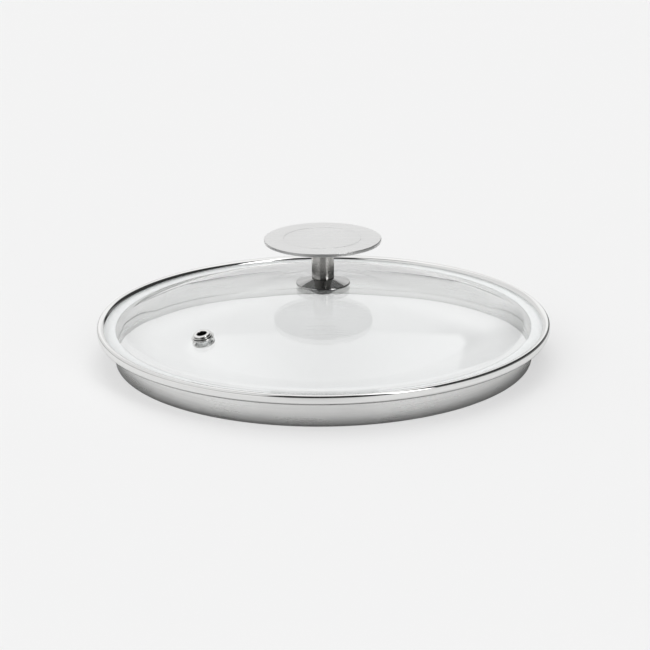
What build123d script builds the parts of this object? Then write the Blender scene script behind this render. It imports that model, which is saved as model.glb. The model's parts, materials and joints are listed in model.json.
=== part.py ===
from build123d import *

import os
from math import asin, cos, degrees, radians, sin, sqrt

# Round glass lid for a 20 cm pan: a domed glass disc in a formed steel rim, a steel disc knob held by
# one screw through the crown, and a steam vent. Millimetres, +Z up, origin on the axis at the skirt's foot.

# Steel rim, one formed strip: lip over the glass, outer band, flange on the pan, skirt inside its mouth
SKIRT_DIAMETER = 197.5
SKIRT_DROP = 12.5
FLANGE_WIDTH = 8.25
STRIP_THICKNESS = 0.4
LIP_WIDTH = 2.8
LIP_EDGE_RADIUS = 0.15
SHOULDER_RADIUS = 1.1
FOLD_RADIUS = 0.8
FLANGE_BEND_RADIUS = 0.6
HEM_HEIGHT = 3.7
HEM_EDGE_RADIUS = 0.25

# Glass: a round crown that runs into a flatter flank and a flat edge clamped by the rim
GLASS_THICKNESS = 3.8
CROWN_RADIUS = 210.0
CROWN_ANGLE = 9.0
FLANK_RADIUS = 500.0
GLASS_BEND_RADIUS = 10.0
GLASS_FLAT_INSET = 0.5
GLASS_EDGE_RADIUS = 1.2
RIM_SIDE_CLEARANCE = 0.3
LIP_CLEARANCE = 0.1

# Knob: a flat disc welded on a turned stem, standing on a conical collar
DISC_DIAMETER = 55.0
DISC_THICKNESS = 1.6
DISC_EDGE_RADIUS = 0.35
STEM_DIAMETER = 10.5
STEM_LENGTH = 17.7
STEM_CHAMFER = 0.3
COLLAR_DIAMETER = 25.5
COLLAR_HEIGHT = 2.9
COLLAR_EDGE_HEIGHT = 0.9
COLLAR_LAND_MARGIN = 0.35
COLLAR_EDGE_RADIUS = 0.3

# Knob screw from below, with its washer and the clear silicone gaskets above and below the glass
SCREW_DIAMETER = 5.0
SCREW_HEAD_DIAMETER = 10.2
SCREW_HEAD_HEIGHT = 1.2
SCREW_HEAD_RADIUS = 0.8
SCREW_TIP_CHAMFER = 0.6
RECESS_LENGTH = 4.0
RECESS_WIDTH = 0.9
RECESS_DEPTH = 0.8
THREAD_ENGAGEMENT = 8.0
THREAD_CLEARANCE = 0.05
BORE_RUNOUT = 1.5
SHANK_CLEARANCE = 0.25
WASHER_DIAMETER = 11.0
WASHER_THICKNESS = 0.5
GLASS_HOLE_DIAMETER = 9.0
GASKET_INSET = 5.0
GASKET_THICKNESS = 0.5
GASKET_CLEARANCE = 0.02
SLEEVE_CLEARANCE = 0.1
SLEEVE_GAP = 0.4
LOWER_GASKET_DIAMETER = 15.0
LOWER_GASKET_THICKNESS = 0.4

# Steam vent: a rolled eyelet in a silicone bush, closed over a washer under the glass
VENT_OFFSET = 72.0
VENT_ANGLE = 221.0
VENT_BORE_DIAMETER = 4.6
VENT_TUBE_WALL = 0.4
VENT_FLANGE_DIAMETER = 9.6
VENT_FLANGE_HEIGHT = 1.8
VENT_BRIM_HEIGHT = 0.85
VENT_BRIM_RADIUS = 0.4
VENT_ROLL_DIAMETER = 7.2
VENT_ROLL_RADIUS = 0.6
VENT_FLARE_DIAMETER = 7.8
VENT_FLARE_HEIGHT = 0.6
VENT_BUSH_WALL = 0.4
VENT_BUSH_FLANGE = 0.3
VENT_BUSH_INSET = 0.3
VENT_CLEARANCE = 0.06
VENT_WASHER_THICKNESS = 0.8

# Rim and glass edge
skirt_radius = SKIRT_DIAMETER / 2
rim_radius = skirt_radius + FLANGE_WIDTH
flange_top = SKIRT_DROP + STRIP_THICKNESS
glass_edge_top = flange_top + GLASS_THICKNESS
lip_top = glass_edge_top + LIP_CLEARANCE + STRIP_THICKNESS
glass_radius = rim_radius - STRIP_THICKNESS - RIM_SIDE_CLEARANCE

# Dome in section: crown, flank and bend are arcs that run into each other, with one centre for both faces
flat_start = skirt_radius - STRIP_THICKNESS - GLASS_FLAT_INSET
flank_centre_x = -(FLANK_RADIUS - CROWN_RADIUS) * sin(radians(CROWN_ANGLE))
flank_end = asin((flat_start - flank_centre_x) / (FLANK_RADIUS + GLASS_BEND_RADIUS))
bend_centre = glass_edge_top + GLASS_BEND_RADIUS
flank_centre = bend_centre - (FLANK_RADIUS + GLASS_BEND_RADIUS) * cos(flank_end)
crown_centre = flank_centre + (FLANK_RADIUS - CROWN_RADIUS) * cos(radians(CROWN_ANGLE))
inner_crown_radius = CROWN_RADIUS - GLASS_THICKNESS
crown_top = crown_centre + CROWN_RADIUS
crown_underside = crown_top - GLASS_THICKNESS

# Knob stack along the axis, from the screw head up to the disc
collar_radius = COLLAR_DIAMETER / 2
collar_base = crown_top + GASKET_THICKNESS
collar_top = collar_base + COLLAR_HEIGHT
stem_radius = STEM_DIAMETER / 2
disc_underside = collar_top + STEM_LENGTH
screw_radius = SCREW_DIAMETER / 2
shank_hole_radius = screw_radius + SHANK_CLEARANCE
glass_hole_radius = GLASS_HOLE_DIAMETER / 2
gasket_radius = collar_radius - GASKET_INSET
gasket_crown_radius = CROWN_RADIUS + GASKET_CLEARANCE
sleeve_radius = glass_hole_radius - SLEEVE_CLEARANCE
sleeve_foot = crown_underside + SLEEVE_GAP
lower_gasket_radius = LOWER_GASKET_DIAMETER / 2
lower_gasket_crown_radius = inner_crown_radius - GASKET_CLEARANCE
lower_gasket_base = (
    crown_centre + sqrt(lower_gasket_crown_radius**2 - lower_gasket_radius**2) - LOWER_GASKET_THICKNESS
)
washer_base = lower_gasket_base - WASHER_THICKNESS
screw_head_base = washer_base - SCREW_HEAD_HEIGHT
screw_tip = collar_top + THREAD_ENGAGEMENT
bore_end = screw_tip + BORE_RUNOUT

# Vent placed square to the flank: the section plane holds the vent's axis and a level line across it
vent_tilt = asin((VENT_OFFSET - flank_centre_x) / FLANK_RADIUS)
vent_height = flank_centre + FLANK_RADIUS * cos(vent_tilt)
vent_angle = radians(VENT_ANGLE)
vent_point = Vector(VENT_OFFSET * cos(vent_angle), VENT_OFFSET * sin(vent_angle), vent_height)
vent_normal = Vector(sin(vent_tilt) * cos(vent_angle), sin(vent_tilt) * sin(vent_angle), cos(vent_tilt))
vent_across = Vector(-sin(vent_angle), cos(vent_angle), 0)
vent_seat = Plane(origin=vent_point, x_dir=vent_across, z_dir=vent_normal)
vent_section = Plane(origin=vent_point, x_dir=vent_across, z_dir=vent_across.cross(vent_normal))
vent_axis = Axis(vent_point, vent_normal)
vent_bore_radius = VENT_BORE_DIAMETER / 2
vent_tube_radius = vent_bore_radius + VENT_TUBE_WALL
vent_bush_bore = vent_tube_radius + VENT_CLEARANCE
vent_bush_radius = vent_bush_bore + VENT_BUSH_WALL
vent_hole_radius = vent_bush_radius + VENT_CLEARANCE
vent_flange_radius = VENT_FLANGE_DIAMETER / 2
vent_flange_base = VENT_CLEARANCE + VENT_BUSH_FLANGE + VENT_CLEARANCE
vent_brim_top = vent_flange_base + VENT_BRIM_HEIGHT
vent_flange_top = vent_flange_base + VENT_FLANGE_HEIGHT
vent_roll_radius = VENT_ROLL_DIAMETER / 2
vent_washer_top = -GLASS_THICKNESS - VENT_CLEARANCE
vent_washer_base = vent_washer_top - VENT_WASHER_THICKNESS
vent_flare_top = vent_washer_base - VENT_CLEARANCE
vent_flare_base = vent_flare_top - VENT_FLARE_HEIGHT

# Rim: the strip is drawn along its outer face and given its thickness inwards, then hemmed at the foot
with BuildPart() as rim:
    with BuildSketch(Plane.XZ) as rim_section:
        with BuildLine():
            FilletPolyline(
                (rim_radius - LIP_WIDTH, lip_top),
                (rim_radius, lip_top),
                (rim_radius, SKIRT_DROP),
                (skirt_radius, SKIRT_DROP),
                (skirt_radius, 0),
                radius=[SHOULDER_RADIUS, FOLD_RADIUS, FLANGE_BEND_RADIUS],
            )
            offset(amount=STRIP_THICKNESS, side=Side.RIGHT)
        make_face()
        with Locations((skirt_radius - STRIP_THICKNESS, 0)):
            Rectangle(STRIP_THICKNESS, HEM_HEIGHT, align=(Align.MAX, Align.MIN))
        fillet(rim_section.vertices().group_by(Axis.Y)[0], HEM_EDGE_RADIUS)
        lip_end = rim_section.edges().filter_by(Axis.Y).group_by(Axis.Y)[-1].sort_by(Axis.X)[0]
        fillet(lip_end.vertices(), LIP_EDGE_RADIUS)
    revolve(axis=Axis.Z)
rim.part.label = "rim"

# Glass: the dome in section, with the knob hole on its axis and the vent hole square to the flank
with BuildPart() as glass_dome:
    with BuildSketch(Plane.XZ):
        with BuildLine():
            flank_end_angle = degrees(flank_end)
            for depth in (0, GLASS_THICKNESS):
                CenterArc((0, crown_centre), CROWN_RADIUS - depth, 90 - CROWN_ANGLE, CROWN_ANGLE)
                CenterArc(
                    (flank_centre_x, flank_centre),
                    FLANK_RADIUS - depth,
                    90 - flank_end_angle,
                    flank_end_angle - CROWN_ANGLE,
                )
                CenterArc(
                    (flat_start, bend_centre),
                    GLASS_BEND_RADIUS + depth,
                    270 - flank_end_angle,
                    flank_end_angle,
                )
            FilletPolyline(
                (flat_start, glass_edge_top),
                (glass_radius, glass_edge_top),
                (glass_radius, flange_top),
                (flat_start, flange_top),
                radius=GLASS_EDGE_RADIUS,
            )
            Line((0, crown_underside), (0, crown_top))
        make_face()
    revolve(axis=Axis.Z)
    with BuildSketch(Plane.XY.offset(crown_underside)):
        Circle(glass_hole_radius)
    extrude(amount=GLASS_THICKNESS, both=True, mode=Mode.SUBTRACT)
    with BuildSketch(vent_seat.offset(-GLASS_THICKNESS)):
        Circle(vent_hole_radius)
    extrude(amount=2 * GLASS_THICKNESS, both=True, mode=Mode.SUBTRACT)
glass_dome.part.label = "glass_dome"

# Knob disc: a flat round plate with eased edges
with BuildPart() as knob_disc:
    with BuildSketch(Plane.XY.offset(disc_underside)):
        Circle(DISC_DIAMETER / 2)
    extrude(amount=DISC_THICKNESS)
    fillet(knob_disc.edges().filter_by(GeomType.CIRCLE), DISC_EDGE_RADIUS)
knob_disc.part.label = "knob_disc"

# Knob stem: a turned bar with a blind bore that takes the screw
with BuildPart() as knob_stem:
    with BuildSketch(Plane.XY.offset(collar_top)):
        Circle(stem_radius)
    extrude(amount=STEM_LENGTH)
    chamfer(knob_stem.edges().filter_by(GeomType.CIRCLE).sort_by(Axis.Z)[0], STEM_CHAMFER)
    with BuildSketch(Plane.XY.offset(collar_top)):
        Circle(screw_radius + THREAD_CLEARANCE)
    extrude(amount=bore_end - collar_top, mode=Mode.SUBTRACT)
knob_stem.part.label = "knob_stem"

# Knob collar: a low cone with a flat land under the stem
with BuildPart() as knob_collar:
    with BuildSketch(Plane.XZ):
        with BuildLine():
            FilletPolyline(
                (shank_hole_radius, collar_base),
                (collar_radius, collar_base),
                (collar_radius, collar_base + COLLAR_EDGE_HEIGHT),
                (stem_radius + COLLAR_LAND_MARGIN, collar_top),
                (shank_hole_radius, collar_top),
                (shank_hole_radius, collar_base),
                radius=[0, COLLAR_EDGE_RADIUS, COLLAR_EDGE_RADIUS, 0, 0],
            )
        make_face()
    revolve(axis=Axis.Z)
knob_collar.part.label = "knob_collar"

# Collar gasket: flat on top for the collar, hollowed to the crown below, with a sleeve in the glass hole
with BuildPart() as collar_gasket:
    with BuildSketch(Plane.XZ):
        with BuildLine():
            Polyline(
                (shank_hole_radius, collar_base),
                (gasket_radius, collar_base),
                (gasket_radius, crown_centre),
                (shank_hole_radius, crown_centre),
                close=True,
            )
        make_face()
        with Locations((0, crown_centre)):
            Circle(gasket_crown_radius, mode=Mode.SUBTRACT)
        with Locations((shank_hole_radius, sleeve_foot)):
            Rectangle(
                sleeve_radius - shank_hole_radius,
                collar_base - sleeve_foot,
                align=(Align.MIN, Align.MIN),
            )
    revolve(axis=Axis.Z)
collar_gasket.part.label = "collar_gasket"

# Lower gasket: crowned on top to fit under the glass, flat below for the washer
with BuildPart() as lower_gasket:
    with BuildSketch(Plane.XZ):
        with Locations((shank_hole_radius, lower_gasket_base)):
            Rectangle(
                lower_gasket_radius - shank_hole_radius,
                crown_top - lower_gasket_base,
                align=(Align.MIN, Align.MIN),
            )
        with Locations((0, crown_centre)):
            Circle(lower_gasket_crown_radius, mode=Mode.INTERSECT)
    revolve(axis=Axis.Z)
lower_gasket.part.label = "lower_gasket"

# Screw washer under the lower gasket
with BuildPart() as screw_washer:
    with BuildSketch(Plane.XY.offset(washer_base)):
        Circle(WASHER_DIAMETER / 2)
        Circle(shank_hole_radius, mode=Mode.SUBTRACT)
    extrude(amount=WASHER_THICKNESS)
screw_washer.part.label = "screw_washer"

# Knob screw: a low head with a cross recess and a plain shank up into the stem
with BuildPart() as knob_screw:
    with BuildSketch(Plane.XY.offset(screw_head_base)):
        Circle(SCREW_HEAD_DIAMETER / 2)
    extrude(amount=SCREW_HEAD_HEIGHT)
    fillet(knob_screw.edges().filter_by(GeomType.CIRCLE).sort_by(Axis.Z)[0], SCREW_HEAD_RADIUS)
    with BuildSketch(Plane.XY.offset(washer_base)):
        Circle(screw_radius)
    extrude(amount=screw_tip - washer_base)
    chamfer(knob_screw.edges().filter_by(GeomType.CIRCLE).sort_by(Axis.Z)[-1], SCREW_TIP_CHAMFER)
    with BuildSketch(Plane.XY.offset(screw_head_base)):
        Rectangle(RECESS_LENGTH, RECESS_WIDTH)
        Rectangle(RECESS_WIDTH, RECESS_LENGTH)
    extrude(amount=RECESS_DEPTH, mode=Mode.SUBTRACT)
knob_screw.part.label = "knob_screw"

# Vent eyelet: a tube with a flat brim and a raised roll above the glass and a flared foot below it
with BuildPart() as vent_eyelet:
    with BuildSketch(vent_section):
        with BuildLine():
            FilletPolyline(
                (vent_bore_radius, vent_flare_base),
                (VENT_FLARE_DIAMETER / 2, vent_flare_base),
                (VENT_FLARE_DIAMETER / 2, vent_flare_top),
                (vent_tube_radius, vent_flare_top),
                (vent_tube_radius, vent_flange_base),
                (vent_flange_radius, vent_flange_base),
                (vent_flange_radius, vent_brim_top),
                (vent_roll_radius, vent_brim_top),
                (vent_roll_radius, vent_flange_top),
                (vent_bore_radius, vent_flange_top),
                (vent_bore_radius, vent_flare_base),
                radius=[0] * 5 + [VENT_BRIM_RADIUS] * 2 + [0] + [VENT_ROLL_RADIUS] * 2,
            )
        make_face()
    revolve(axis=vent_axis)
vent_eyelet.part.label = "vent_eyelet"

# Vent bush: a thin silicone sleeve in the glass hole with a flange under the eyelet
with BuildPart() as vent_bush:
    with BuildSketch(vent_section):
        with Locations((vent_bush_bore, VENT_CLEARANCE)):
            Rectangle(
                vent_flange_radius - VENT_BUSH_INSET - vent_bush_bore,
                VENT_BUSH_FLANGE,
                align=(Align.MIN, Align.MIN),
            )
        with Locations((vent_bush_bore, -GLASS_THICKNESS)):
            Rectangle(
                VENT_BUSH_WALL,
                GLASS_THICKNESS + VENT_CLEARANCE,
                align=(Align.MIN, Align.MIN),
            )
    revolve(axis=vent_axis)
vent_bush.part.label = "vent_bush"

# Vent washer: a flat ring under the glass that the flared foot of the eyelet holds
with BuildPart() as vent_washer:
    with BuildSketch(vent_seat.offset(vent_washer_base)):
        Circle(vent_flange_radius)
        Circle(vent_bush_bore, mode=Mode.SUBTRACT)
    extrude(amount=VENT_WASHER_THICKNESS)
vent_washer.part.label = "vent_washer"

pieces = [
    rim,
    glass_dome,
    knob_disc,
    knob_stem,
    knob_collar,
    collar_gasket,
    lower_gasket,
    screw_washer,
    knob_screw,
    vent_eyelet,
    vent_bush,
    vent_washer,
]

os.makedirs("parts", exist_ok=True)
for piece in pieces:
    export_step(piece.part, f"parts/{piece.part.label}.step")
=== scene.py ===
"""Dresses a round glass pan lid: domed glass in a steel rim, a steel disc knob and a steam vent.

Sizes are in millimetres and angles in degrees, unless a name says otherwise. Meshes are in metres.
"""

import json
import logging
import math
from dataclasses import dataclass
from enum import Enum
from functools import cache

import bmesh
import bpy
from mathutils import Matrix, Vector


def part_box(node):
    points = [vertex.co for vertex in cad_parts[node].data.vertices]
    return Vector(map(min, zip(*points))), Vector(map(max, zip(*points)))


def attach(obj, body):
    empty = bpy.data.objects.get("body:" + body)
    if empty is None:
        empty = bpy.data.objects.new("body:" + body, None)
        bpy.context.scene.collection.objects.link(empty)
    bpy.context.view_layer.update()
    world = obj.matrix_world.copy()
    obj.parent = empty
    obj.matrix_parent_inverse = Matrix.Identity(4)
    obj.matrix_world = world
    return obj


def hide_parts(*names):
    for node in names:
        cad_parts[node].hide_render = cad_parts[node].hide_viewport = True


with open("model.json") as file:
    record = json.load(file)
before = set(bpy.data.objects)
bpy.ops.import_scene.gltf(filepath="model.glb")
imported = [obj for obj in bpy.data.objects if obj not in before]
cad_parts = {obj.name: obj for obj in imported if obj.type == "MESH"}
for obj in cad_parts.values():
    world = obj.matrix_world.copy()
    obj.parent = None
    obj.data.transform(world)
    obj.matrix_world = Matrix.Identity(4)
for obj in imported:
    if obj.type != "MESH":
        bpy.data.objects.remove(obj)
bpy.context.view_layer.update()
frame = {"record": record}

MM = 0.001
ARC_STEP = 10.0
SHARP_ANGLE = 35.0
MERGE_DISTANCE = 0.0005
ZERO_GUARD = 1e-6
SENSOR_WIDTH = 36.0

log = logging.getLogger("pan_lid")

Socket = bpy.types.NodeSocket
Piece = bpy.types.Object
Colour = tuple[float, float, float]
Point = tuple[float, float, float]
Corner = tuple[float, ...]
Pair = tuple[float, float]

# A finish changes its tone or roughness between two levels of its pattern.
NARROW: Pair = (0.3, 0.7)
WIDE: Pair = (0.2, 0.8)

MIX_COLOURS = ("data_type", "RGBA")
BEFORE_COLOURS = (None,) * 5
MIXED_COLOUR = 2


class Grain(Enum):
    """Which way the lines of a steel finish run."""

    AROUND = "around the axis"
    STRAIGHT = "straight across"
    POLISHED = "no lines"


class NodeGraph:
    """A node tree that is filled by short calls."""

    def __init__(self, tree: bpy.types.NodeTree) -> None:
        """Takes over the tree of a material or of the world and clears it."""
        self.tree = tree
        tree.nodes.clear()

    @classmethod
    def of_material(cls, name: str) -> tuple["NodeGraph", bpy.types.Material]:
        """Makes a material with an empty tree.

        Args:
            name: The material's name.

        Returns:
            The graph and its material.
        """
        material = bpy.data.materials.new(name)
        material.use_nodes = True
        return cls(material.node_tree), material

    def feed(self, socket: Socket, value: object) -> None:
        """Links a socket to another one, or sets its value.

        Args:
            socket: The input to feed.
            value: An output socket, the value to set, or None to leave the input alone.
        """
        if isinstance(value, Socket):
            self.tree.links.new(value, socket)
        elif value is not None:
            socket.default_value = value

    def add(
        self, kind: str, *values: object, choice: tuple[str, str] | None = None, **inputs: object
    ) -> bpy.types.Node:
        """Adds a node.

        Args:
            kind: The node's type.
            values: What feeds its first inputs, in their order.
            choice: An option of the node and what is chosen there.
            inputs: What feeds other inputs, by name, with _ for a space.

        Returns:
            The new node.
        """
        node = self.tree.nodes.new(kind)
        if choice:
            setattr(node, *choice)
        for socket, value in zip(node.inputs, values):
            self.feed(socket, value)
        for name, value in inputs.items():
            self.feed(node.inputs[name.replace("_", " ")], value)
        return node

    def math(self, operation: str, *values: object) -> Socket:
        """Gives what a Math node makes of one or two numbers."""
        return self.add("ShaderNodeMath", *values, choice=("operation", operation)).outputs[0]

    def measure(self, operation: str, *vectors: object) -> Socket:
        """Gives the number that a Vector Math node makes of one or two vectors."""
        node = self.add("ShaderNodeVectorMath", *vectors, choice=("operation", operation))
        return node.outputs["Value"]

    def product(self, first: object, second: object) -> Socket:
        """Multiplies two numbers."""
        return self.math("MULTIPLY", first, second)

    def square(self, across: Socket, along: Socket) -> Socket:
        """Gives the square of a level vector's length."""
        return self.math("ADD", self.product(across, across), self.product(along, along))

    def ramp(
        self, value: Socket, low: float, high: float, start: float = 0.0, end: float = 1.0
    ) -> Socket:
        """Goes smoothly from start to end while a value goes from low to high, and holds both ends."""
        soft = ("interpolation_type", "SMOOTHSTEP")
        return self.add("ShaderNodeMapRange", value, low, high, start, end, choice=soft).outputs[0]

    def blend(self, share: Socket, first: object, second: object) -> Socket:
        """Mixes two numbers by the share of the second one."""
        return self.add("ShaderNodeMix", share, None, first, second).outputs[0]

    def tone(self, share: Socket, first: Colour, second: Colour) -> Socket:
        """Mixes two colours by the share of the second one."""
        values = (share, *BEFORE_COLOURS, (*first, 1.0), (*second, 1.0))
        return self.add("ShaderNodeMix", *values, choice=MIX_COLOURS).outputs[MIXED_COLOUR]

    def noise(self, place: Socket, scale: float, detail: float) -> Socket:
        """Adds a noise pattern from 0 to 1, with its scale in waves per unit of place."""
        return self.add("ShaderNodeTexNoise", Vector=place, Scale=scale, Detail=detail).outputs[0]

    def bump(self, height: Socket, strength: float, depth: float) -> Socket:
        """Turns a pattern into relief of a depth, and strength is how much of it shows."""
        node = self.add("ShaderNodeBump", Strength=strength, Distance=depth * MM, Height=height)
        return node.outputs["Normal"]

    def place(self) -> Socket:
        """Gives the piece's own coordinates, in metres."""
        return self.add("ShaderNodeTexCoord").outputs["Object"]

    def split(self, vector: Socket) -> tuple[Socket, ...]:
        """Splits a vector into its three parts."""
        return tuple(self.add("ShaderNodeSeparateXYZ", vector).outputs)

    def join(self, *parts: Socket) -> Socket:
        """Makes a vector of its parts."""
        return self.add("ShaderNodeCombineXYZ", *parts).outputs[0]

    def finish(self, shader: bpy.types.Node) -> None:
        """Makes a shader the surface of the material or of the world."""
        kind = "ShaderNodeOutputWorld" if shader.type == "BACKGROUND" else "ShaderNodeOutputMaterial"
        self.add(kind, Surface=shader.outputs[0])


@dataclass(frozen=True)
class SteelFinish:
    """Stainless steel, with a grain and soft smears."""

    name: str
    tint: Colour
    roughness: float
    spread: float
    grain: Grain
    relief: float
    smear: float = 0.0
    smear_noise: Pair = (38.0, 3.0)
    smear_limits: Pair = (0.35, 0.7)
    lines_per_mm: float = 0.9
    line_stretch: float = 60.0
    line_noise: Pair = (1.0, 4.0)
    line_limits: Pair = (0.25, 0.75)
    line_bump: float = 0.35
    line_tone: float = 0.9

    def grain_place(self, graph: NodeGraph) -> Socket:
        """Stretches the piece's coordinates along the grain.

        Args:
            graph: The material's graph.

        Returns:
            Coordinates in which the grain's lines are long.
        """
        across, along, up = graph.split(graph.place())
        pitch = self.lines_per_mm / MM
        run = pitch / self.line_stretch
        scales = {
            Grain.AROUND: (run, run, pitch),
            Grain.STRAIGHT: (run, pitch, pitch),
            Grain.POLISHED: (pitch, pitch, pitch),
        }
        if self.grain is Grain.AROUND:
            reach = graph.math("SQRT", graph.math("ADD", graph.square(across, along), ZERO_GUARD))
            up = graph.math("ADD", reach, up)
        parts = map(graph.product, (across, along, up), scales[self.grain])
        return graph.join(*parts)

    def polished(self, graph: NodeGraph, rough: Socket) -> Socket:
        """Lowers the roughness where the piece is polished, which is nowhere here."""
        return rough

    @cache
    def material(self) -> bpy.types.Material:
        """Makes the finish's material.

        Returns:
            The material.
        """
        graph, material = NodeGraph.of_material(self.name)
        lines = graph.noise(self.grain_place(graph), *self.line_noise)
        clouds = graph.noise(graph.place(), *self.smear_noise)
        grain = graph.ramp(lines, *self.line_limits, -self.spread, self.spread)
        smears = graph.ramp(clouds, *self.smear_limits, -self.smear, self.smear)
        rough = graph.math("ADD", graph.math("ADD", smears, self.roughness), grain)
        deep = tuple(self.line_tone * part for part in self.tint)
        steel = graph.add(
            "ShaderNodeBsdfPrincipled",
            Base_Color=graph.tone(graph.ramp(lines, *WIDE), deep, self.tint),
            Metallic=1.0,
            Roughness=self.polished(graph, rough),
            Normal=graph.bump(lines, self.line_bump, self.relief),
        )
        graph.finish(steel)
        return material


@dataclass(frozen=True)
class StripFinish(SteelFinish):
    """Rolled steel strip, polished on the outside of the lip and the band and satin elsewhere."""

    polish: float = 0.03
    polished_from: float = 105.0
    polished_above: float = 15.8
    margin: float = 0.15

    def polished(self, graph: NodeGraph, rough: Socket) -> Socket:
        """Finds the polished lip and band by their height and their distance from the axis.

        Args:
            graph: The material's graph.
            rough: The roughness of the satin parts.

        Returns:
            The roughness of the whole strip.
        """
        across, along, up = graph.split(graph.place())
        reach = graph.math("SQRT", graph.square(across, along))
        ramps = [
            graph.ramp(way, (edge - self.margin) * MM, (edge + self.margin) * MM)
            for way, edge in ((reach, self.polished_from), (up, self.polished_above))
        ]
        return graph.blend(graph.math("MAXIMUM", *ramps), rough, self.polish)


@dataclass(frozen=True)
class GroundFinish:
    """Glass ground matt and white along its edge and on its seat."""

    name: str
    tint: Colour
    deep: Colour
    roughness: float
    rough_spread: float = 0.1
    index: float = 1.5
    grit_noise: Pair = (900.0, 4.0)
    grit_relief: Pair = (0.3, 0.01)

    @cache
    def material(self) -> bpy.types.Material:
        """Makes the ground glass.

        Returns:
            The material.
        """
        graph, material = NodeGraph.of_material(self.name)
        grit = graph.noise(graph.place(), *self.grit_noise)
        smoothest = self.roughness - self.rough_spread
        roughest = self.roughness + self.rough_spread
        ground = graph.add(
            "ShaderNodeBsdfPrincipled",
            Base_Color=graph.tone(graph.ramp(grit, *NARROW), self.deep, self.tint),
            Roughness=graph.ramp(grit, *WIDE, smoothest, roughest),
            IOR=self.index,
            Normal=graph.bump(grit, *self.grit_relief),
        )
        graph.finish(ground)
        return material


@dataclass(frozen=True)
class GlassFinish:
    """Clear toughened glass, a little wavy, with the faint film that handling leaves."""

    name: str
    tint: Colour
    shade: Colour
    film_roughness: float
    waviness: float
    index: float = 1.5
    film_noise: Pair = (45.0, 4.0)
    film_limits: Pair = (0.45, 0.8)
    wave_noise: Pair = (14.0, 1.0)

    @cache
    def material(self) -> bpy.types.Material:
        """Makes the glass, which lets lamps through to what is under it.

        Returns:
            The material.
        """
        graph, material = NodeGraph.of_material(self.name)
        film = graph.noise(graph.place(), *self.film_noise)
        waves = graph.noise(graph.place(), *self.wave_noise)
        glass = graph.add(
            "ShaderNodeBsdfPrincipled",
            Base_Color=(*self.tint, 1.0),
            Roughness=graph.ramp(film, *self.film_limits, 0.0, self.film_roughness),
            IOR=self.index,
            Transmission_Weight=1.0,
            Normal=graph.bump(waves, 1.0, self.waviness),
        )
        clear = graph.add("ShaderNodeBsdfTransparent", Color=(*self.shade, 1.0))
        path = graph.add("ShaderNodeLightPath").outputs
        lamps = graph.math("MAXIMUM", path["Is Shadow Ray"], path["Is Diffuse Ray"])
        graph.finish(graph.add("ShaderNodeMixShader", lamps, glass.outputs[0], clear.outputs[0]))
        return material


@dataclass(frozen=True)
class SiliconeFinish:
    """Clear food silicone, matt and slightly cloudy."""

    name: str
    tint: Colour
    cloud: Colour
    roughness: float
    rough_spread: float = 0.15
    index: float = 1.41
    clearness: float = 0.85
    cloud_noise: Pair = (260.0, 3.0)
    skin_noise: Pair = (2400.0, 2.0)
    skin_relief: Pair = (0.3, 0.02)

    @cache
    def material(self) -> bpy.types.Material:
        """Makes the silicone.

        Returns:
            The material.
        """
        graph, material = NodeGraph.of_material(self.name)
        clouds = graph.noise(graph.place(), *self.cloud_noise)
        skin = graph.noise(graph.place(), *self.skin_noise)
        roughest = self.roughness + self.rough_spread
        silicone = graph.add(
            "ShaderNodeBsdfPrincipled",
            Base_Color=graph.tone(graph.ramp(clouds, *NARROW), self.tint, self.cloud),
            Roughness=graph.ramp(clouds, *WIDE, self.roughness, roughest),
            IOR=self.index,
            Transmission_Weight=self.clearness,
            Normal=graph.bump(skin, *self.skin_relief),
        )
        graph.finish(silicone)
        return material


Finish = SteelFinish | GroundFinish | GlassFinish | SiliconeFinish

RIM_STEEL = StripFinish("rolled_strip_steel", (0.9, 0.9, 0.89), 0.3, 0.03, Grain.AROUND, 0.003, 0.02)
DISC_STEEL = SteelFinish(
    "satin_plate_steel", (0.82, 0.82, 0.815), 0.3, 0.04, Grain.STRAIGHT, 0.004, 0.03
)
STEM_STEEL = SteelFinish("turned_bar_steel", (0.62, 0.61, 0.59), 0.16, 0.03, Grain.AROUND, 0.004)
COLLAR_STEEL = SteelFinish(
    "bright_collar_steel", (0.48, 0.48, 0.475), 0.05, 0.01, Grain.POLISHED, 0.0005, 0.01
)
EYELET_STEEL = SteelFinish(
    "bright_eyelet_steel", (0.86, 0.86, 0.85), 0.12, 0.01, Grain.POLISHED, 0.0005, 0.01
)
# Painted shade: the inside of the eyelet's tube is painted near black.
TUBE_PAINTED_SHADE = SteelFinish("tube_painted_shade", (0.06, 0.06, 0.06), 0.45, 0.03, Grain.AROUND, 0.002, 0.02)
FIXING_STEEL = SteelFinish("plain_fixing_steel", (0.55, 0.55, 0.54), 0.28, 0.05, Grain.AROUND, 0.006)
CLEAR_GLASS = GlassFinish(
    "clear_toughened_glass", (0.985, 0.993, 0.992), (0.96, 0.965, 0.965), 0.02, 0.004
)
GROUND_GLASS = GroundFinish("ground_glass_edge", (0.85, 0.86, 0.86), (0.81, 0.82, 0.82), 0.7)
CLEAR_SILICONE = SiliconeFinish("clear_silicone", (0.93, 0.94, 0.94), (0.86, 0.87, 0.87), 0.22)


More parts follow.
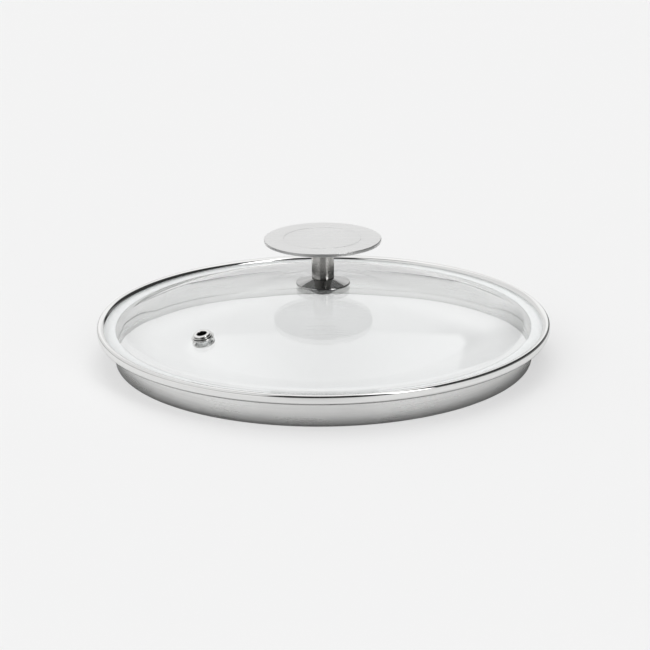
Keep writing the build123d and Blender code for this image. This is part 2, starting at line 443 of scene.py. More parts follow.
class Section:
    """Half section of a turned piece, drawn with straight runs and arcs in the XZ plane."""

    def __init__(self, radius: float, height: float) -> None:
        """Starts the section at a distance from the axis and a place along it."""
        self.bm = bmesh.new()
        self.tip = self.bm.verts.new((radius, 0.0, height))

    def line(self, radius: float, height: float) -> "Section":
        """Runs straight to a point.

        Args:
            radius: The point's distance from the axis.
            height: Its place along the axis.

        Returns:
            The section itself.
        """
        grown = bmesh.ops.extrude_vert_indiv(self.bm, verts=[self.tip])
        self.tip = grown["verts"][0]
        self.tip.co = (radius, 0.0, height)
        return self

    def arc(self, radius: float, height: float, turn: float, step: float = ARC_STEP) -> "Section":
        """Runs round a centre.

        Args:
            radius: The centre's distance from the axis.
            height: Its place along the axis.
            turn: The angle of the arc, counterclockwise where it is positive.
            step: The largest angle of one edge.

        Returns:
            The section itself.
        """
        grown = bmesh.ops.spin(
            self.bm,
            geom=[self.tip],
            cent=(radius, 0.0, height),
            axis=(0.0, -1.0, 0.0),
            angle=math.radians(turn),
            steps=max(1, math.ceil(abs(turn) / step)),
        )
        self.tip = grown["geom_last"][0]
        return self

    def through(self, *corners: Corner) -> "Section":
        """Runs along a line with rounded corners.

        Args:
            corners: Each corner's distance from the axis, place along it and radius, if it has one.

        Returns:
            The section itself.
        """
        for (radius, height, *rounded), following in zip(corners, corners[1:]):
            rounding = rounded[0] if rounded else 0.0
            corner = Vector((radius, height))
            heading = (corner - self.tip.co.xz).normalized()
            onward = (Vector(following[:2]) - corner).normalized()
            turn = math.atan2(heading.cross(onward), heading.dot(onward))
            start = corner - heading * rounding * math.tan(abs(turn) / 2)
            self.line(*start)
            if rounding:
                centre = start + heading.orthogonal() * math.copysign(rounding, turn)
                self.arc(*centre, math.degrees(turn))
        return self.line(*corners[-1][:2])

    def turned(self, name: str, steps: int, seat: Matrix | None = None) -> Piece:
        """Turns the section round the axis into a closed piece.

        Args:
            name: The piece's name.
            steps: How many sides the turning has.
            seat: Where the axis stands, or None for the lid's own axis.

        Returns:
            The piece, with smooth faces and sharp corners.
        """
        bmesh.ops.spin(
            self.bm,
            geom=self.bm.verts[:] + self.bm.edges[:],
            axis=(0.0, 0.0, 1.0),
            angle=math.tau,
            steps=steps,
            use_merge=True,
        )
        return finished(self.bm, name, seat)


def finished(bm: bmesh.types.BMesh, name: str, seat: Matrix | None = None) -> Piece:
    """Closes a mesh in millimetres and makes it an object in metres.

    Args:
        bm: The mesh, which is used up.
        name: The object's name.
        seat: Where the mesh's origin stands, or None to leave it.

    Returns:
        The object, at the origin.
    """
    bmesh.ops.remove_doubles(bm, verts=bm.verts, dist=MERGE_DISTANCE)
    bmesh.ops.recalc_face_normals(bm, faces=bm.faces)
    if seat:
        bmesh.ops.transform(bm, matrix=seat, verts=bm.verts)
    bmesh.ops.scale(bm, vec=(MM, MM, MM), verts=bm.verts)
    mesh = bpy.data.meshes.new(name)
    bm.to_mesh(mesh)
    bm.free()
    piece = bpy.data.objects.new(name, mesh)
    bpy.context.scene.collection.objects.link(piece)
    smooth(mesh)
    return piece


def smooth(mesh: bpy.types.Mesh) -> None:
    """Shades a mesh smoothly, with its corners left sharp."""
    mesh.shade_smooth()
    mesh.set_sharp_from_angle(angle=math.radians(SHARP_ANGLE))


def cut(piece: Piece, tool: Piece) -> None:
    """Cuts one piece with another, which is used up.

    Args:
        piece: The piece that is cut.
        tool: The shape that is taken away.
    """
    modifier = piece.modifiers.new("cut", "BOOLEAN")
    modifier.object = tool
    modifier.solver = "EXACT"
    graph = bpy.context.evaluated_depsgraph_get()
    mesh = bpy.data.meshes.new_from_object(piece.evaluated_get(graph))
    piece.modifiers.clear()
    piece.data = mesh
    bpy.data.objects.remove(tool)
    smooth(mesh)


def dress(piece: Piece, node: str, body: str, finish: Finish, even: bool = False) -> None:
    """Gives a piece its finish and puts it in the place of a CAD node.

    Args:
        piece: The piece.
        node: The node that it stands for.
        body: The body that it moves with.
        finish: What it is made of.
        even: Whether large flat faces are kept flat where they run into rounded edges.
    """
    piece.data.materials.clear()
    piece.data.materials.append(finish.material())
    if even:
        piece.modifiers.new("even_faces", "WEIGHTED_NORMAL").keep_sharp = True
    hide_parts(node)
    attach(piece, body)
    log.info("%s: %d faces, for %s on %s", piece.name, len(piece.data.polygons), node, body)


def node_span(node: str) -> tuple[Vector, Vector]:
    """Gives a CAD node's lowest and highest corner in millimetres."""
    low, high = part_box(node)
    return low / MM, high / MM


@dataclass
class Rim:
    """One formed steel strip: lip curled onto the glass, outer band, flange, skirt and hem."""

    radius: float
    top: float
    skirt_radius: float
    drop: float
    strip: float = 0.4
    lip: float = 3.5
    lip_slope: float = 2.35
    lip_curl: float = 1.5
    shoulder: float = 1.1
    fold: float = 1.8
    bend: float = 0.6
    hem: float = 3.7
    hem_edge: float = 0.25
    sides: int = 360

    def build(self) -> None:
        """Bends the strip, turns it and dresses it."""
        lip_start = self.radius - self.lip
        lip_foot = self.top - self.lip_curl
        half_curl = math.atan2(self.lip_curl, self.lip_slope)
        curl = self.lip_slope / math.sin(2 * half_curl)
        lip_crest = lip_start + self.lip_slope - curl * math.tan(half_curl)
        back_crest = lip_crest + self.strip * math.tan(half_curl)
        lip_back = lip_start + self.strip / math.sin(2 * half_curl)
        lip_middle = (lip_start + lip_back) / 2
        inside = self.radius - self.strip
        skirt_inside = self.skirt_radius - self.strip
        hem_inside = skirt_inside - self.strip
        shelf = self.drop + self.strip
        under_lip = self.top - self.strip
        section = Section(lip_middle, lip_foot)
        section.through(
            (lip_start, lip_foot),
            (lip_crest, self.top, curl),
            (self.radius, self.top, self.shoulder),
            (self.radius, self.drop, self.fold),
            (self.skirt_radius, self.drop, self.bend),
            (self.skirt_radius, 0.0, self.hem_edge),
            (hem_inside, 0.0, self.hem_edge),
            (hem_inside, self.hem, self.hem_edge),
            (skirt_inside, self.hem),
            (skirt_inside, shelf, self.bend + self.strip),
            (inside, shelf, self.fold - self.strip),
            (inside, under_lip, self.shoulder - self.strip),
            (back_crest, under_lip, curl - self.strip),
            (lip_back, lip_foot),
            (lip_middle, lip_foot),
        )
        piece = section.turned("rim_strip", self.sides)
        dress(piece, "rim", "lid", RIM_STEEL, even=True)


@dataclass
class Dome:
    """Domed glass: a round crown, a flatter flank, a falling brow, a bend and a flat edge."""

    rim: Rim
    thickness: float = 3.8
    crown_radius: float = 210.0
    crown_angle: float = 9.0
    flank_radius: float = 500.0
    brow_start: float = 79.0
    brow_radius: float = 115.0
    bend_radius: float = 10.0
    flat_inset: float = 0.5
    edge_rounding: float = 1.35
    edge_sink: float = 1.05
    ground_width: float = 1.1
    ground_seat: float = 7.95
    seat_gap: float = 0.03
    side_clearance: float = 0.3
    knob_hole: float = 4.5
    vent_hole: float = 3.22
    vent_offset: float = 72.0
    vent_angle: float = 221.0
    crown_step: float = 0.5
    flank_step: float = 0.25
    bend_step: float = 2.0
    drill_sides: int = 96
    sides: int = 288

    def __post_init__(self) -> None:
        """Works out where the section's arcs meet and their centres."""
        shelf = self.rim.drop + self.rim.strip
        self.edge_top = shelf + self.thickness
        self.radius = self.rim.radius - self.rim.strip - self.side_clearance
        self.flat_start = self.rim.skirt_radius - self.rim.strip - self.flat_inset
        tilt = math.radians(self.crown_angle)
        step = self.flank_radius - self.crown_radius
        self.flank_x = -step * math.sin(tilt)
        reach = self.flank_radius + self.bend_radius
        flank_end = math.asin((self.flat_start - self.flank_x) / reach)
        self.flank_angle = math.degrees(flank_end)
        self.bend_z = self.edge_top + self.bend_radius
        self.flank_z = self.bend_z - reach * math.cos(flank_end)
        brow = math.asin((self.brow_start - self.flank_x) / self.flank_radius)
        self.brow_angle = math.degrees(brow)
        self.brow_x = self.brow_start - self.brow_radius * math.sin(brow)
        self.brow_z = self.flank_z + (self.flank_radius - self.brow_radius) * math.cos(brow)
        rise = self.bend_z - self.edge_sink - self.brow_z
        reach = self.brow_radius + self.bend_radius
        self.outer_start = self.brow_x + math.sqrt(reach**2 - rise**2)
        self.outer_angle = math.degrees(math.acos(rise / reach))
        self.crown_z = self.flank_z + step * math.cos(tilt)
        self.crown_top = self.crown_z + self.crown_radius

    def crown_height(self, radius: float, depth: float = 0.0) -> float:
        """Gives the crown's height at a distance from the axis and a depth under the outer face."""
        return self.crown_z + math.sqrt((self.crown_radius - depth) ** 2 - radius**2)

    def vent_seat(self) -> Matrix:
        """Finds the vent's place on the flank.

        Returns:
            The place, with Z square to the glass.
        """
        tilt = math.asin((self.vent_offset - self.flank_x) / self.flank_radius)
        height = self.flank_z + self.flank_radius * math.cos(tilt)
        spot = Matrix.Translation((self.vent_offset, 0.0, height)) @ Matrix.Rotation(tilt, 4, "Y")
        return Matrix.Rotation(math.radians(self.vent_angle), 4, "Z") @ spot

    def build(self) -> None:
        """Draws both faces, turns them, drills the vent hole and dresses the glass."""
        inner_crown = self.crown_radius - self.thickness
        hole_top = math.degrees(math.asin(self.knob_hole / self.crown_radius))
        hole_foot = math.degrees(math.asin(self.knob_hole / inner_crown))
        flank = self.flank_angle - self.crown_angle
        shelf = self.edge_top - self.thickness
        section = Section(self.knob_hole, self.crown_height(self.knob_hole))
        section.arc(0.0, self.crown_z, hole_top - self.crown_angle, self.crown_step)
        section.arc(self.flank_x, self.flank_z, self.crown_angle - self.brow_angle, self.flank_step)
        section.arc(self.brow_x, self.brow_z, self.brow_angle - self.outer_angle, self.crown_step)
        section.arc(self.outer_start, self.bend_z - self.edge_sink, self.outer_angle, self.bend_step)
        section.through(
            (self.radius, self.edge_top - self.edge_sink, self.edge_rounding),
            (self.radius, shelf + self.seat_gap, self.edge_rounding),
            (self.flat_start + self.flat_inset, shelf + self.seat_gap),
            (self.flat_start, shelf),
        )
        section.arc(self.flat_start, self.bend_z, -self.flank_angle, self.bend_step)
        section.arc(self.flank_x, self.flank_z, flank, self.flank_step)
        section.arc(0.0, self.crown_z, self.crown_angle - hole_foot, self.crown_step)
        section.line(self.knob_hole, self.crown_height(self.knob_hole))
        piece = section.turned("domed_glass", self.sides)
        drill_foot = -2 * self.thickness
        drill = Section(0.0, drill_foot).line(self.vent_hole, drill_foot)
        drill.line(self.vent_hole, self.thickness).line(0.0, self.thickness)
        cut(piece, drill.turned("drill", self.drill_sides, self.vent_seat()))
        dress(piece, "glass_dome", "lid", CLEAR_GLASS, even=True)
        piece.data.materials.append(GROUND_GLASS.material())
        back = self.vent_seat().inverted()
        for face in piece.data.polygons:
            reach = face.center.xy.length / MM
            edge = reach > self.radius - self.ground_width
            seat = reach > self.radius - self.ground_seat and face.normal.z < 0.0
            hole = (back @ (face.center / MM)).xy.length < self.vent_hole or reach < self.knob_hole
            face.material_index = int(edge or seat or hole)


@dataclass
class Knob:
    """A flat steel disc on a turned stem, standing on a conical collar."""

    disc_edge: float = 0.35
    ring_radius: float = 18.2
    ring_width: float = 0.5
    ring_depth: float = 0.06
    stem_chamfer: float = 0.3
    stem_bore: float = 2.55
    bore_depth: float = 9.5
    shank_hole: float = 2.75
    collar_edge_height: float = 0.9
    collar_edge: float = 0.3
    land_margin: float = 0.35
    sides: int = 192

    def build_disc(self) -> None:
        """Turns the disc, with a plain engraved ring in its top."""
        low, high = node_span("knob_disc")
        inner = self.ring_radius - self.ring_width / 2
        outer = self.ring_radius + self.ring_width / 2
        floor = high.z - self.ring_depth
        section = Section(0.0, high.z).through(
            (inner, high.z),
            (inner + self.ring_depth, floor),
            (outer - self.ring_depth, floor),
            (outer, high.z),
            (high.x, high.z, self.disc_edge),
            (high.x, low.z, self.disc_edge),
            (0.0, low.z),
        )
        piece = section.turned("disc_plate", self.sides)
        dress(piece, "knob_disc", "knob", DISC_STEEL, even=True)

    def build_stem(self) -> None:
        """Turns the stem, with its tapped bore."""
        low, high = node_span("knob_stem")
        section = Section(0.0, low.z + self.bore_depth).through(
            (self.stem_bore, low.z + self.bore_depth),
            (self.stem_bore, low.z),
            (high.x - self.stem_chamfer, low.z),
            (high.x, low.z + self.stem_chamfer),
            (high.x, high.z),
            (0.0, high.z),
        )
        piece = section.turned("stem_bar", self.sides)
        dress(piece, "knob_stem", "knob", STEM_STEEL)

    def build_collar(self) -> None:
        """Turns the collar, a low cone with a flat land under the stem."""
        low, high = node_span("knob_collar")
        land = node_span("knob_stem")[1].x + self.land_margin
        section = Section(self.shank_hole, high.z).through(
            (land, high.z, self.collar_edge / 2),
            (high.x, low.z + self.collar_edge_height, self.collar_edge),
            (high.x, low.z, self.collar_edge),
            (self.shank_hole, low.z),
            (self.shank_hole, high.z),
        )
        piece = section.turned("collar_cone", self.sides)
        dress(piece, "knob_collar", "collar", COLLAR_STEEL, even=True)

    def build(self) -> None:
        """Builds the disc, the stem and the collar."""
        self.build_disc()
        self.build_stem()
        self.build_collar()


@dataclass
class KnobFixing:
    """The screw that holds the knob, its washer and the gaskets on both faces of the glass."""

    dome: Dome
    shank_hole: float = Knob.shank_hole
    gasket_clearance: float = 0.02
    sleeve_radius: float = 4.4
    sleeve_gap: float = 0.4
    washer_edge: float = 0.15
    head_height: float = 1.2
    head_rounding: float = 0.8
    head_edge: float = 0.1
    thread_radius: float = 2.48
    core_radius: float = 2.05
    thread_pitch: float = 0.8
    thread_gap: float = 0.2
    thread_sides: int = 32
    ridge_sink: float = 0.1
    ridge_flat: float = 0.05
    tip_chamfer: float = 0.6
    recess_length: float = 4.0
    recess_width: float = 0.9
    recess_depth: float = 0.8
    gasket_step: float = 1.0
    sides: int = 128

    def build_gaskets(self) -> None:
        """Turns the gaskets, which follow the crown of the glass."""
        dome = self.dome
        high = node_span("collar_gasket")[1]
        top = high.z - self.gasket_clearance
        ball = dome.crown_radius + self.gasket_clearance
        foot = dome.crown_top - dome.thickness + self.sleeve_gap
        sweep = math.degrees(math.asin(high.x / ball) - math.asin(self.sleeve_radius / ball))
        section = Section(self.shank_hole, top).line(high.x, top)
        section.line(high.x, dome.crown_height(high.x, -self.gasket_clearance))
        section.arc(0.0, dome.crown_z, sweep, self.gasket_step).line(self.sleeve_radius, foot)
        section.line(self.shank_hole, foot).line(self.shank_hole, top)
        piece = section.turned("upper_gasket", self.sides)
        dress(piece, "collar_gasket", "lid", CLEAR_SILICONE)
        low, high = node_span("lower_gasket")
        base = low.z + self.gasket_clearance
        depth = dome.thickness + self.gasket_clearance
        ball = dome.crown_radius - depth
        sweep = math.degrees(math.asin(high.x / ball) - math.asin(self.shank_hole / ball))
        section = Section(self.shank_hole, base).line(high.x, base)
        section.line(high.x, dome.crown_height(high.x, depth))
        section.arc(0.0, dome.crown_z, sweep, self.gasket_step).line(self.shank_hole, base)
        piece = section.turned("under_gasket", self.sides)
        dress(piece, "lower_gasket", "lid", CLEAR_SILICONE)

    def build_washer(self) -> None:
        """Turns the washer under the lower gasket."""
        low, high = node_span("screw_washer")
        middle = (low.z + high.z) / 2
        section = Section(self.shank_hole, middle).through(
            (self.shank_hole, low.z, self.washer_edge),
            (high.x, low.z, self.washer_edge),
            (high.x, high.z, self.washer_edge),
            (self.shank_hole, high.z, self.washer_edge),
            (self.shank_hole, middle),
        )
        piece = section.turned("fixing_washer", self.sides)
        dress(piece, "screw_washer", "lid", FIXING_STEEL, even=True)

    def thread(self, low: float, high: float) -> bmesh.types.BMesh:
        """Winds the thread's ridge.

        Args:
            low: Where the ridge starts along the axis.
            high: Where it ends.

        Returns:
            The ridge, a closed helix.
        """
        root = self.core_radius - self.ridge_sink
        half = self.thread_pitch / 2 - self.ridge_flat
        bm = bmesh.new()
        corners = (
            (root, -half),
            (self.thread_radius, -self.ridge_flat),
            (self.thread_radius, self.ridge_flat),
            (root, half),
        )
        ring = [bm.verts.new((radius, 0.0, low + half + height)) for radius, height in corners]
        cap = bm.faces.new(ring)
        turns = (high - low - 2 * half) / self.thread_pitch
        steps = round(turns * self.thread_sides)
        bmesh.ops.spin(
            bm,
            geom=[cap, *cap.edges, *cap.verts],
            axis=(0.0, 0.0, 1.0),
            dvec=(0.0, 0.0, turns * self.thread_pitch / steps),
            angle=turns * math.tau,
            steps=steps,
        )
        return bm

    def build_screw(self) -> None:
        """Turns the screw, winds its thread and cuts the cross recess in its head."""
        low, high = node_span("knob_screw")
        neck = low.z + self.head_height
        section = Section(0.0, high.z).through(
            (self.core_radius - self.tip_chamfer, high.z),
            (self.core_radius, high.z - self.tip_chamfer),
            (self.core_radius, neck),
            (high.x, neck, self.head_edge),
            (high.x, low.z, self.head_rounding),
            (0.0, low.z),
        )
        piece = section.turned("low_head_screw", self.sides)
        for turn in (0.0, math.pi / 2):
            bm = bmesh.new()
            bmesh.ops.create_cube(bm, size=1.0)
            size = (self.recess_length, self.recess_width, 2 * self.recess_depth)
            bmesh.ops.scale(bm, vec=size, verts=bm.verts)
            bmesh.ops.rotate(bm, matrix=Matrix.Rotation(turn, 3, "Z"), verts=bm.verts)
            cut(piece, finished(bm, "recess", Matrix.Translation((0.0, 0.0, low.z))))
        ridge = finished(self.thread(neck + self.thread_gap, high.z - self.tip_chamfer), "ridge")
        whole = bmesh.new()
        for part in (piece, ridge):
            whole.from_mesh(part.data)
        whole.to_mesh(piece.data)
        whole.free()
        bpy.data.objects.remove(ridge)
        smooth(piece.data)
        dress(piece, "knob_screw", "lid", FIXING_STEEL)

    def build(self) -> None:
        """Builds the gaskets, the washer and the screw."""
        self.build_gaskets()
        self.build_washer()
        self.build_screw()


@dataclass(frozen=True)
class Ring:
    """A ring round the vent, by its radius, its top and foot over the glass and its rounding."""

    radius: float
    top: float
    foot: float
    rounding: float

    def edge(self) -> tuple[Corner, Corner]:
        """Gives the corners of its edge, from the top down."""
        return (self.radius, self.top, self.rounding), (self.radius, self.foot, self.rounding)


@dataclass
class Vent:
    """A rolled steel eyelet in a silicone bush, closed over a washer under the glass."""

    dome: Dome
    bore: float = 2.3
    tube: float = 2.7
    tube_margin: float = 0.05
    neck_radius: float = 3.2
    roll: Ring = Ring(3.9, 2.5, 2.0, 0.22)
    step: Ring = Ring(4.5, 1.75, 1.4, 0.14)
    brim: Ring = Ring(5.1, 1.05, 0.42, 0.2)
    flare: Ring = Ring(3.9, -4.72, -5.32, 0.25)
    bush: Ring = Ring(4.5, 0.36, 0.06, 0.1)
    bush_radius: float = 3.16
    bush_bore: float = 2.76
    washer: Ring = Ring(5.1, -3.86, -4.66, 0.25)
    sides: int = 128

    def __post_init__(self) -> None:
        """Finds the vent's place on the glass."""
        self.seat = self.dome.vent_seat()

    def build_eyelet(self) -> None:
        """Turns the eyelet, which is bright outside, with painted shade inside its tube."""
        section = Section(self.bore, 0.0).through(
            (self.bore, self.roll.top, self.roll.rounding),
            *self.roll.edge(),
            (self.neck_radius, self.roll.foot),
            (self.neck_radius, self.step.top),
            *self.step.edge(),
            (self.neck_radius, self.step.foot),
            (self.neck_radius, self.brim.top),
            *self.brim.edge(),
            (self.tube, self.brim.foot),
            (self.tube, self.flare.top),
            *self.flare.edge(),
            (self.bore, self.flare.foot, self.flare.rounding),
            (self.bore, 0.0),
        )
        piece = section.turned("rolled_eyelet", self.sides, self.seat)
        dress(piece, "vent_eyelet", "lid", EYELET_STEEL, even=True)
        # The inside of the tube below the brim gets the near-black painted shade.
        piece.data.materials.append(TUBE_PAINTED_SHADE.material())
        back = self.seat.inverted()
        for face in piece.data.polygons:
            spot = back @ (face.center / MM)
            inner = spot.xy.length < self.tube + self.tube_margin
            face.material_index = int(inner and spot.z < self.brim.foot)

    def build_bush(self) -> None:
        """Turns the bush between the eyelet and the glass."""
        section = Section(self.bush_bore, self.bush.top).through(
            *self.bush.edge(),
            (self.bush_radius, self.bush.foot),
            (self.bush_radius, -self.dome.thickness),
            (self.bush_bore, -self.dome.thickness),
            (self.bush_bore, self.bush.top),
        )
        piece = section.turned("eyelet_bush", self.sides, self.seat)
        dress(piece, "vent_bush", "lid", CLEAR_SILICONE)

    def build_washer(self) -> None:
        """Turns the washer under the glass."""
        section = Section(self.bush_bore, self.washer.top).through(
            *self.washer.edge(),
            (self.bush_bore, self.washer.foot),
            (self.bush_bore, self.washer.top),
        )
        piece = section.turned("eyelet_washer", self.sides, self.seat)
        dress(piece, "vent_washer", "lid", EYELET_STEEL, even=True)

    def build(self) -> None:
        """Builds the eyelet, the bush and the washer."""
        self.build_eyelet()
        self.build_bush()
        self.build_washer()


@dataclass(frozen=True)
class Panel:
    """Something light or dark that stands far round the lid and shows in its steel and glass.

    The azimuth is from the viewer's side towards the right.
    """

    azimuth: float
    half_width: float
    low: float
    high: float
    soft: float
    level: float

    def mask(self, graph: NodeGraph, direction: Socket, rise: Socket, ground: Socket) -> Socket:
        """Finds the sight lines that meet the panel.

        Args:
            graph: The world's graph.
            direction: The sight line.
            rise: Its upward part.
            ground: The length of its level part.

        Returns:
            1 on the panel, 0 off it.
        """
        turn = math.radians(self.azimuth)
        towards = (math.sin(turn), -math.cos(turn), 0.0)
        facing = graph.math("DIVIDE", graph.measure("DOT_PRODUCT", direction, towards), ground)
        outer = math.cos(math.radians(min(180.0, self.half_width + self.soft)))
        inner = math.cos(math.radians(max(0.0, self.half_width - self.soft)))
        low, high, soft = (math.radians(angle) for angle in (self.low, self.high, self.soft))
        width = graph.ramp(facing, outer, inner)
        above = graph.ramp(rise, math.sin(low - soft), math.sin(low + soft))
        under = graph.ramp(rise, math.sin(high - soft), math.sin(high + soft), 1.0, 0.0)
        return graph.product(width, graph.product(above, under))


@dataclass(frozen=True)
class Softbox:
    """A flat softbox overhead, by its edges as shares of its height, with a bowed back edge."""

    left: float
    right: float
    front: float
    back: float
    bow: float
    soft: float
    level: float
    least_rise: float = 0.001

    def mask(self, graph: NodeGraph, across: Socket, along: Socket, rise: Socket) -> Socket:
        """Finds the sight lines that meet the softbox.

        Args:
            graph: The world's graph.
            across: The sight line's part to the right.
            along: Its part away from the viewer.
            rise: Its upward part.

        Returns:
            1 on the softbox, 0 off it.
        """
        height = graph.math("MAXIMUM", rise, self.least_rise)
        side = graph.math("DIVIDE", across, height)
        bowed = graph.product(graph.product(side, side), self.bow)
        depth = graph.math("SUBTRACT", graph.math("DIVIDE", along, height), bowed)
        spans = []
        for share, low, high in ((side, self.left, self.right), (depth, self.front, self.back)):
            after = graph.ramp(share, low - self.soft, low + self.soft)
            before = graph.ramp(share, high - self.soft, high + self.soft, 1.0, 0.0)
            spans.append(graph.product(after, before))
        return graph.product(*spans)


@dataclass(frozen=True)
class Fill:
    """A soft lamp far off that lights matt surfaces and doesn't show in steel or glass."""

    name: str
    strength: float
    angle: float
    tilt: float

    def hang(self) -> None:
        """Hangs the lamp over the lid, tilted towards the viewer's side where the tilt is positive."""
        lamp = bpy.data.lights.new(self.name, "SUN")
        lamp.energy = self.strength
        lamp.angle = math.radians(self.angle)
        fill = bpy.data.objects.new(self.name, lamp)
        fill.rotation_euler.x = math.radians(self.tilt)
        fill.visible_glossy = False
        fill.visible_transmission = False
        bpy.context.scene.collection.objects.link(fill)


@dataclass
class Studio:
    """A pale floor, soft studio light and the camera at the photograph's angle."""

    skirt_radius: float
    floor_tone: float = 0.863
    floor_size: float = 8000.0
    shadow_share: float = 0.4
    # The board as it shows in steel; beyond its front and sides the floor is painted dark, a painted
    # reflection of dark surroundings.
    board_front: float = -158.0
    board_soft: float = 22.0
    board_side: float = 185.0
    painted_dark_beyond_board: float = 0.15
    # Painted shadow under the knob, on the floor as it shows in steel.
    knob_shade: Point = (0.0, -15.0, 0.0)
    knob_shade_radius: float = 55.0
    knob_shade_soft: float = 12.0
    knob_shade_level: float = 0.25
    # Painted shade on the floor where a sight line was mirrored twice, which darkens the disc's
    # underside as the collar shows it.
    twice_mirrored_shade: float = 0.3
    # Painted contact shadow round the skirt's foot, on the floor as it shows in steel, and the level
    # that it rises to outside.
    foot_shadow_level: float = 0.25
    foot_shadow_inside: float = 5.0
    inside_shadow_level: float = 0.75
    foot_shadow_outside: float = 16.0
    foot_shadow_stretch: float = 1.05
    outside_level: float = 0.88
    room_level: float = 0.05
    fills: tuple[Fill, ...] = (
        Fill("front_fill", 1.6, 100.0, 45.0),
        Fill("back_fill", 0.4, 40.0, -30.0),
    )
    panels: tuple[Panel, ...] = (
        Panel(-112.0, 84.0, -20.0, 65.0, 4.0, 1.0),
        Panel(180.0, 18.0, 14.0, 27.0, 4.0, 1.25),
        Panel(105.0, 50.0, 4.0, 16.0, 4.0, 0.3),
        Panel(44.0, 10.0, -10.0, 75.0, 2.0, 3.0),
    )
    softbox: Softbox = Softbox(-0.45, 0.475, -0.3, 1.165, 2.2, 0.02, 1.3)
    camera_place: Point = (0.76, -869.46, 301.08)
    camera_pitch: float = 18.311
    camera_roll: float = 0.5
    frame_pixels: float = 650.0
    focal_pixels: float = 1925.9

    def board(self, graph: NodeGraph, depth: Socket) -> Socket:
        """Paints the floor as it shows in steel: a white board, with painted shade and shadows on it
        and painted dark beyond it.

        Args:
            graph: The floor's graph.
            depth: How often the sight line was mirrored.

        Returns:
            The board's brightness, from 0 to 1.
        """
        spot = graph.place()
        across, ahead, _ = graph.split(spot)
        front, side, soft = (size * MM for size in (self.board_front, self.board_side, self.board_soft))
        # Painted dark beyond the board's front and sides, seen only in steel.
        near = graph.ramp(ahead, front - soft, front + soft, self.painted_dark_beyond_board, 1.0)
        aside = graph.math("ABSOLUTE", across)
        beside = graph.ramp(aside, side - soft, side + soft, 1.0, self.painted_dark_beyond_board)
        # Painted shadow on the floor under the knob.
        away = graph.measure("DISTANCE", spot, Vector(self.knob_shade) * MM)
        low, high = ((self.knob_shade_radius + part * self.knob_shade_soft) * MM for part in (-1, 1))
        knob = graph.ramp(away, low, high, self.knob_shade_level, 1.0)
        # Painted contact shadow round the skirt's foot, inside and outside it.
        skirt = self.skirt_radius * MM
        inner = (self.skirt_radius - self.foot_shadow_inside) * MM
        outer = (self.skirt_radius + self.foot_shadow_outside) * MM
        reach = graph.measure("LENGTH", spot)
        inside = graph.ramp(reach, inner, skirt, 1.0, self.inside_shadow_level)
        inside = graph.product(inside, graph.math("LESS_THAN", reach, skirt))
        wide = graph.join(graph.product(across, self.foot_shadow_stretch), ahead)
        stretched = graph.measure("LENGTH", wide)
        outside = graph.ramp(stretched, skirt, outer, self.foot_shadow_level, self.outside_level)
        level = graph.product(graph.math("MINIMUM", near, beside), knob)
        level = graph.product(level, graph.math("MAXIMUM", inside, outside))
        # Painted shade where a sight line was mirrored twice.
        twice = graph.math("GREATER_THAN", depth, 1.0)
        return graph.product(level, graph.blend(twice, 1.0, self.twice_mirrored_shade))

    def lay_floor(self) -> None:
        """Lays the floor, plain with a light shadow to the viewer; where it shows in steel it is
        painted as a white board with painted shade and shadows.
        """
        graph, material = NodeGraph.of_material("pale_floor")
        path = graph.add("ShaderNodeLightPath").outputs
        depth = path["Glossy Depth"]
        mirrored = graph.math("MINIMUM", depth, 1.0)
        level = graph.blend(mirrored, 1.0, self.board(graph, depth))
        paper = graph.add("ShaderNodeBsdfDiffuse", Color=graph.product(level, self.floor_tone))
        glow = graph.add("ShaderNodeEmission", Color=(*(self.floor_tone,) * 3, 1.0), Strength=1.0)
        seen = graph.math("MAXIMUM", path["Is Camera Ray"], path["Is Transmission Ray"])
        seen = graph.product(seen, graph.math("SUBTRACT", 1.0, mirrored))
        share = graph.product(seen, 1.0 - self.shadow_share)
        graph.finish(graph.add("ShaderNodeMixShader", share, paper.outputs[0], glow.outputs[0]))
        bm = bmesh.new()
        bmesh.ops.create_grid(bm, x_segments=1, y_segments=1, size=self.floor_size / 2)
        floor = finished(bm, "floor")
        floor.data.materials.append(material)

    def light(self) -> None:
        """Sets the panels and the softbox round the lid, and hangs the soft fills."""
        world = bpy.data.worlds.new("studio")
        world.use_nodes = True
        bpy.context.scene.world = world
        graph = NodeGraph(world.node_tree)
        direction = graph.add("ShaderNodeTexCoord").outputs["Generated"]
        across, along, rise = graph.split(direction)
        ground = graph.math("SQRT", graph.math("MAXIMUM", graph.square(across, along), ZERO_GUARD))
        level: object = self.room_level
        for panel in self.panels:
            level = graph.blend(panel.mask(graph, direction, rise, ground), level, panel.level)
        level = graph.blend(self.softbox.mask(graph, across, along, rise), level, self.softbox.level)
        seen = graph.add("ShaderNodeLightPath").outputs["Is Camera Ray"]
        shown = graph.blend(seen, level, self.floor_tone)
        graph.finish(graph.add("ShaderNodeBackground", Strength=shown))
        for fill in self.fills:
            fill.hang()

    def set_camera(self) -> None:
        """Sets the camera, which looks along +Y and down at the lid."""
        data = bpy.data.cameras.new("view")
        data.sensor_width = SENSOR_WIDTH
        data.lens = data.sensor_width * self.focal_pixels / self.frame_pixels
        camera = bpy.data.objects.new("view", data)
        turn = Matrix.Rotation(math.radians(90.0 - self.camera_pitch), 4, "X")
        turn = turn @ Matrix.Rotation(math.radians(-self.camera_roll), 4, "Z")
        camera.matrix_world = Matrix.Translation(Vector(self.camera_place) * MM) @ turn
        bpy.context.scene.collection.objects.link(camera)
        bpy.context.scene.camera = camera
        bpy.context.scene.view_settings.view_transform = "Standard"

    def build(self) -> None:
        """Lays the floor, lights it and sets the camera."""
        self.lay_floor()
        self.light()
        self.set_camera()


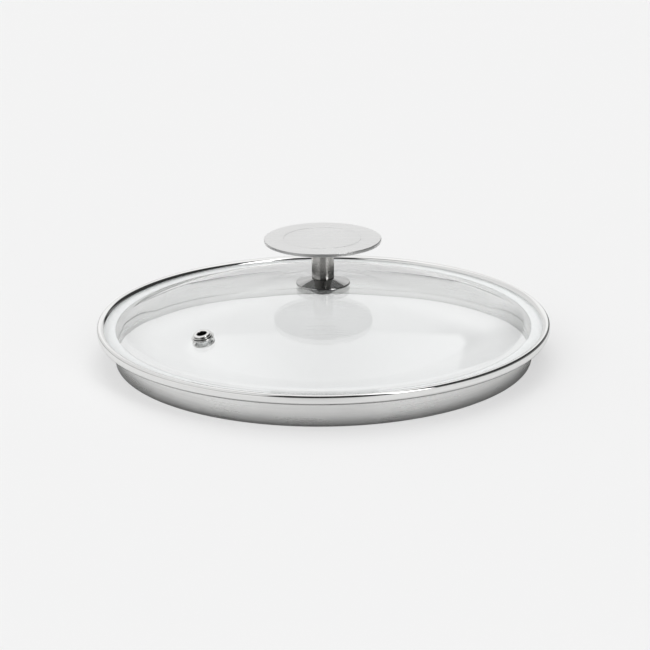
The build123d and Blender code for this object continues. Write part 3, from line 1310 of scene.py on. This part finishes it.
def main() -> None:
    """Builds the lid's sub-assemblies and the studio in order."""
    logging.basicConfig(level=logging.INFO, format="%(name)s: %(message)s")
    mounts = {mount["name"]: mount for mount in frame["record"]["mounts"]}
    high = node_span("rim")[1]
    rim = Rim(high.x, high.z, mounts["pan_mouth"]["dims"]["r_mm"], mounts["pan_seat"]["pos_m"][2] / MM)
    dome = Dome(rim)
    studio = Studio(rim.skirt_radius)
    for assembly in (rim, dome, Knob(), KnobFixing(dome), Vent(dome), studio):
        assembly.build()
        log.info("%s is built", type(assembly).__name__)


if __name__ == "__main__":
    main()
